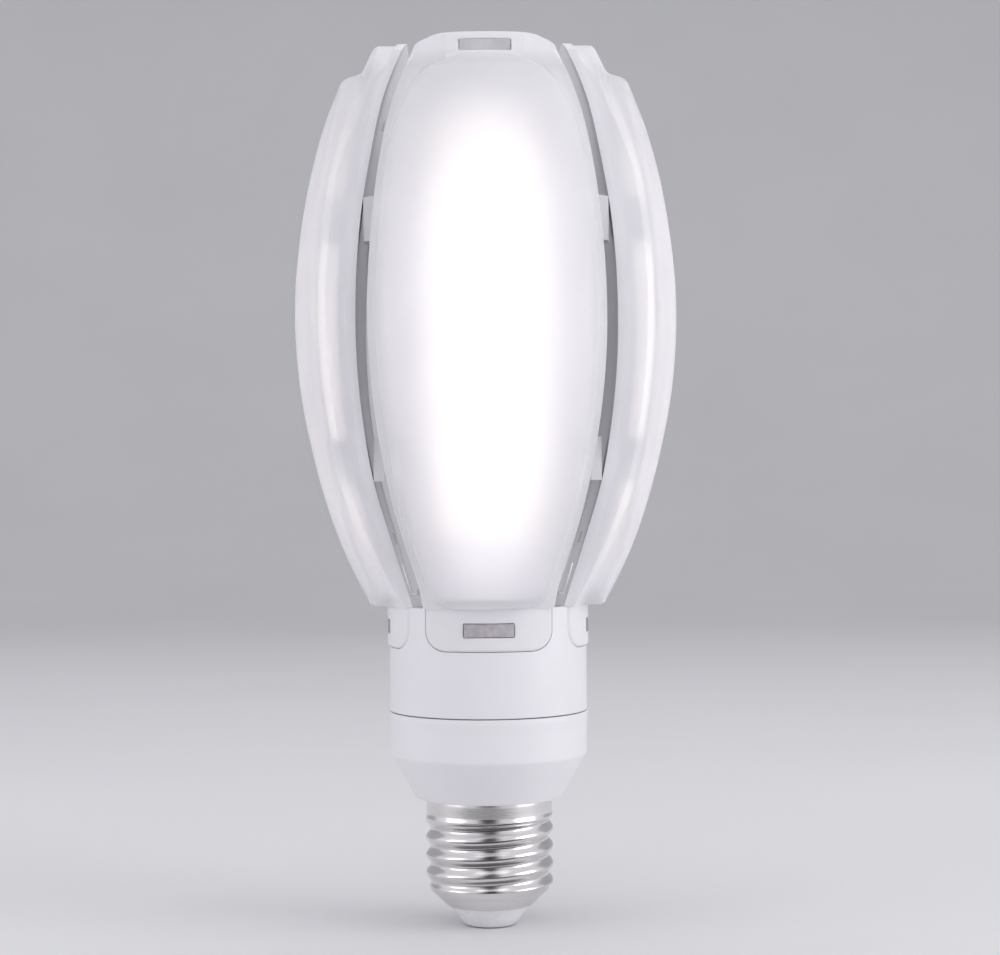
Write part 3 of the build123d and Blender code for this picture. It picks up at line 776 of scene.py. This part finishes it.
def cap_mesh():
    seg = 256
    bm = bmesh.new()
    rows = []
    foot = [(8.88, 4.30), (9.06, 4.34), (9.34, 4.58), (9.94, 5.20), (10.50, 5.82), (11.10, 6.40),
            (11.62, 6.86), (11.92, 7.16)]
    for r, z in foot:
        rows.append([(r, z)] * seg)
    z = 7.3
    while z < 23.6:
        rows.append([(min(cap_radius(z, 2 * math.pi * i / seg), 13.13), z) for i in range(seg)])
        z += 0.16
    for r, z in ((SKIRT, 24.4), (SKIRT, 25.4), (SKIRT, 26.1), (12.88, 26.2), (12.72, 26.42),
                 (12.70, 26.6), (12.70, 31.3), (12.6, 31.4), (12.2, 31.4), (12.1, 31.3), (12.1, 26.7),
                 (12.3, 26.2), (12.3, 23.4), (11.5, 22.6), (11.5, 8.1),
                 (11.2, 7.3), (10.6, 6.85), (10.0, 6.35), (9.5, 5.75), (8.88, 5.1)):
        rows.append([(r, z)] * seg)
    vr = []
    for row in rows:
        vr.append([bm.verts.new((r * math.cos(2 * math.pi * i / seg) * MM,
                                 r * math.sin(2 * math.pi * i / seg) * MM, z * MM))
                   for i, (r, z) in enumerate(row)])
    for a, b in zip(vr, vr[1:] + vr[:1]):
        for i in range(seg):
            j = (i + 1) % seg
            bm.faces.new([a[i], a[j], b[j], b[i]])
    bmesh.ops.recalc_face_normals(bm, faces=bm.faces)
    return bm


cap = bm_object(cap_mesh(), "screw_cap_shell")
shade(cap, 50)
dress(cap, MAT["nickel"])
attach(cap, "root")
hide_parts("cap_shell")

insul_line = rounded(
    [(4.5, 0.18), (5.25, 0.18), (6.0, 0.95), (6.9, 2.12), (8.45, 4.15), (8.86, 4.42), (8.86, 5.05),
     (9.3, 5.6), (9.3, 6.3), (6.0, 6.9), (1.5, 6.9), (1.5, 0.98), (4.5, 0.98)],
    [0.1, 0.3, 0, 0, 0.2, 0.1, 0, 0, 0, 0, 0, 0, 0])
insul = lathe("cap_insulator_ring", insul_line, 128)
shade(insul, 38)
dress(insul, MAT["insul"])
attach(insul, "root")
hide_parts("cap_insulator")

contact_line = rounded(
    [(0.0, 0.0), (2.4, 0.0), (3.7, 0.10), (4.4, 0.45), (4.4, 0.95), (1.4, 0.95), (1.4, 7.4), (0.0, 7.4)],
    [0, 0.6, 0.5, 0.15, 0.05, 0, 0.1, 0], 4)
contact = lathe("contact_disc", contact_line, 96)
shade(contact, 40)
dress(contact, MAT["contact"])
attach(contact, "root")
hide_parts("contact_button")

# -------------------------------------------------- finishes of the CAD nodes
for name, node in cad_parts.items():
    ob = node
    mat = None
    if name.startswith("tray_"):
        mat = MAT["tray"]
    elif name.endswith("_bridges"):
        mat = MAT["bridge"]
    elif name.startswith("led_board"):
        mat = MAT["board"]
    elif name.startswith("led_chips"):
        mat = MAT["chips"]
    elif name.endswith("_screws"):
        mat = MAT["steel"]
    elif name.endswith("_clips"):
        mat = MAT["clip_top"] if name.startswith("upper") else MAT["clip"]
    else:
        mat = {"driver_board": MAT["fr4"], "transformer_core": MAT["core"], "choke_core": MAT["core"],
               "transformer_winding": MAT["tape"], "choke_winding": MAT["copper"],
               "output_capacitor": MAT["sleeve"], "input_capacitor": MAT["sleeve"],
               "film_capacitor": MAT["film"], "driver_chip": MAT["epoxy"],
               "bridge_rectifier": MAT["epoxy"], "fusible_resistor": MAT["resistor"],
               "live_lead": MAT["lead"], "neutral_lead": MAT["lead"],
               "petal_leads": MAT["lit_lead"]}.get(name)
    if mat is not None and getattr(ob, "type", "") == "MESH":
        for i in range(max(1, len(ob.material_slots))):
            if len(ob.material_slots) == 0:
                ob.data.materials.append(mat)
            else:
                ob.material_slots[i].material = mat

# --------------------------------------------------------------------- stage
def sweep_backdrop():
    bm = bmesh.new()
    prof = [(-2.2, 0.0), (-0.5, 0.0), (0.3, 0.0), (0.9, 0.0)]
    for i in range(1, 13):
        a = i / 12 * math.pi / 2
        prof.append((0.9 + 0.6 * math.sin(a), 0.6 * (1 - math.cos(a))))
    prof += [(1.5, 1.4), (1.5, 2.4)]
    rows = []
    for y, z in prof:
        rows.append([bm.verts.new((x, y, z - 0.00005)) for x in (-3.0, -1.0, 0.0, 1.0, 3.0)])
    for a, b in zip(rows, rows[1:]):
        for i in range(4):
            bm.faces.new([a[i], a[i + 1], b[i + 1], b[i]])
    bmesh.ops.recalc_face_normals(bm, faces=bm.faces)
    return bm_object(bm, "studio_floor")


floor = sweep_backdrop()
for f in floor.data.polygons:
    f.use_smooth = True


def paper():
    """Plain pale sheet with painted shade: a shade darker where it rises far behind the lamp, standing in for the light
    falling off there.
    """
    m, nt, p, co = new_mat("floor_paper_painted_falloff")
    sep = nt.nodes.new("ShaderNodeSeparateXYZ")
    nt.links.new(co.outputs["Object"], sep.inputs[0])
    # painted shade: the sheet darkens further behind the lamp, standing in for the light falling off there; the noise
    # adds random tone
    far = soft_range(nt, sep.outputs[1], 0.05, 1.3, 0.0, 0.85)
    fade = op(nt, "ADD", far, op(nt, "MULTIPLY", noise(nt, co, 8.0, 3), 0.15))
    nt.links.new(ramp(nt, fade, [(0.0, (0.80, 0.80, 0.81)), (1.0, (0.53, 0.53, 0.54))]),
                 p.inputs["Base Color"])
    p.inputs["Roughness"].default_value = 0.85
    p.inputs["Specular IOR Level"].default_value = 0.2
    return m


dress(floor, paper())


def area(name, loc, target, size, power, color=(1, 1, 1)):
    li = bpy.data.lights.new(name, "AREA")
    li.shape = "RECTANGLE"
    li.size, li.size_y = size
    li.energy = power
    li.color = color
    ob = bpy.data.objects.new(name, li)
    bpy.context.scene.collection.objects.link(ob)
    ob.location = loc
    d = Vector(target) - Vector(loc)
    ob.rotation_euler = d.to_track_quat("-Z", "Y").to_euler()
    return ob


area("key_right", (0.86, -0.32, 0.20), (0, 0, 0.09), (0.6, 1.0), 4.2)
area("fill_left", (-0.86, -0.36, 0.18), (0, 0, 0.09), (0.6, 1.0), 1.95)
area("top_soft", (0.0, -0.1, 1.2), (0, 0, 0.1), (0.9, 0.9), 1.6)


def flag(name, loc, size, dark, pale, axis):
    """Grey card in front of the lamp that only the metal mirrors, fading from
    dark to pale along one of its own axes."""
    bm = bmesh.new()
    w, h = size[0] / 2, size[1] / 2
    vs_ = [bm.verts.new(c) for c in ((-w, 0, -h), (w, 0, -h), (w, 0, h), (-w, 0, h))]
    bm.faces.new(vs_)
    ob = bm_object(bm, name)
    ob.location = loc
    m, nt, p, co = new_mat(name)
    sep = nt.nodes.new("ShaderNodeSeparateXYZ")
    nt.links.new(co.outputs["Object"], sep.inputs[0])
    along = op(nt, "ABSOLUTE", sep.outputs[0]) if axis == "x" else sep.outputs[2]
    a, b = (w * 0.3, w) if axis == "x" else (h - 0.02, h - 0.17)
    fade = soft_range(nt, op(nt, "ADD", along, op(nt, "MULTIPLY", noise(nt, co, 6.0, 2), 0.01)), a, b, 0.0, 1.0)
    nt.links.new(ramp(nt, fade, [(0.0, (dark,) * 3), (1.0, (pale,) * 3)]), p.inputs["Base Color"])
    p.inputs["Roughness"].default_value = 0.9
    dress(ob, m)
    ob.visible_camera = False
    ob.visible_diffuse = False
    ob.visible_shadow = False
    ob.visible_transmission = False
    return ob


flag("studio_flag", (-0.03, -0.75, 0.90), (0.60, 3.2), 0.03, 0.60, "x")
low = flag("studio_flag_low", (-0.010, -0.322, 0.004), (0.17, 0.60), 0.02, 0.55, "z")
low.rotation_euler = (math.radians(-90), 0, 0)

world = bpy.data.worlds.new("studio")
world.use_nodes = True
bg = world.node_tree.nodes["Background"]
bg.inputs["Color"].default_value = (0.95, 0.95, 1.0, 1)
bg.inputs["Strength"].default_value = 0.80
bpy.context.scene.world = world

# -------------------------------------------------------------------- camera
W, H = 1000.0, 955.0
FPX = 2153.0
cam_data = bpy.data.cameras.new("camera")
cam_data.sensor_fit = "HORIZONTAL"
cam_data.sensor_width = 36.0
cam_data.lens = FPX / W * 36.0
cam_data.clip_start = 0.01
cam = bpy.data.objects.new("camera", cam_data)
bpy.context.scene.collection.objects.link(cam)
turn = math.radians(0.55)                  # the front petal sits a little to the right
cam.location = (-0.444 * math.sin(turn), -0.444 * math.cos(turn), 0.0919)
yaw = math.atan(13.1 / FPX)               # aims a little to the lamp's right
roll = math.radians(0.42)
look = Matrix.Rotation(-yaw - turn, 4, "Z") @ Matrix.Rotation(math.radians(90), 4, "X") @ Matrix.Rotation(-roll, 4, "Z")
cam.rotation_euler = look.to_euler()
bpy.context.scene.camera = cam

vs = bpy.context.scene.view_settings
vs.view_transform = "Standard"
vs.look = "None"
vs.exposure = 0.0
vs.gamma = 1.0
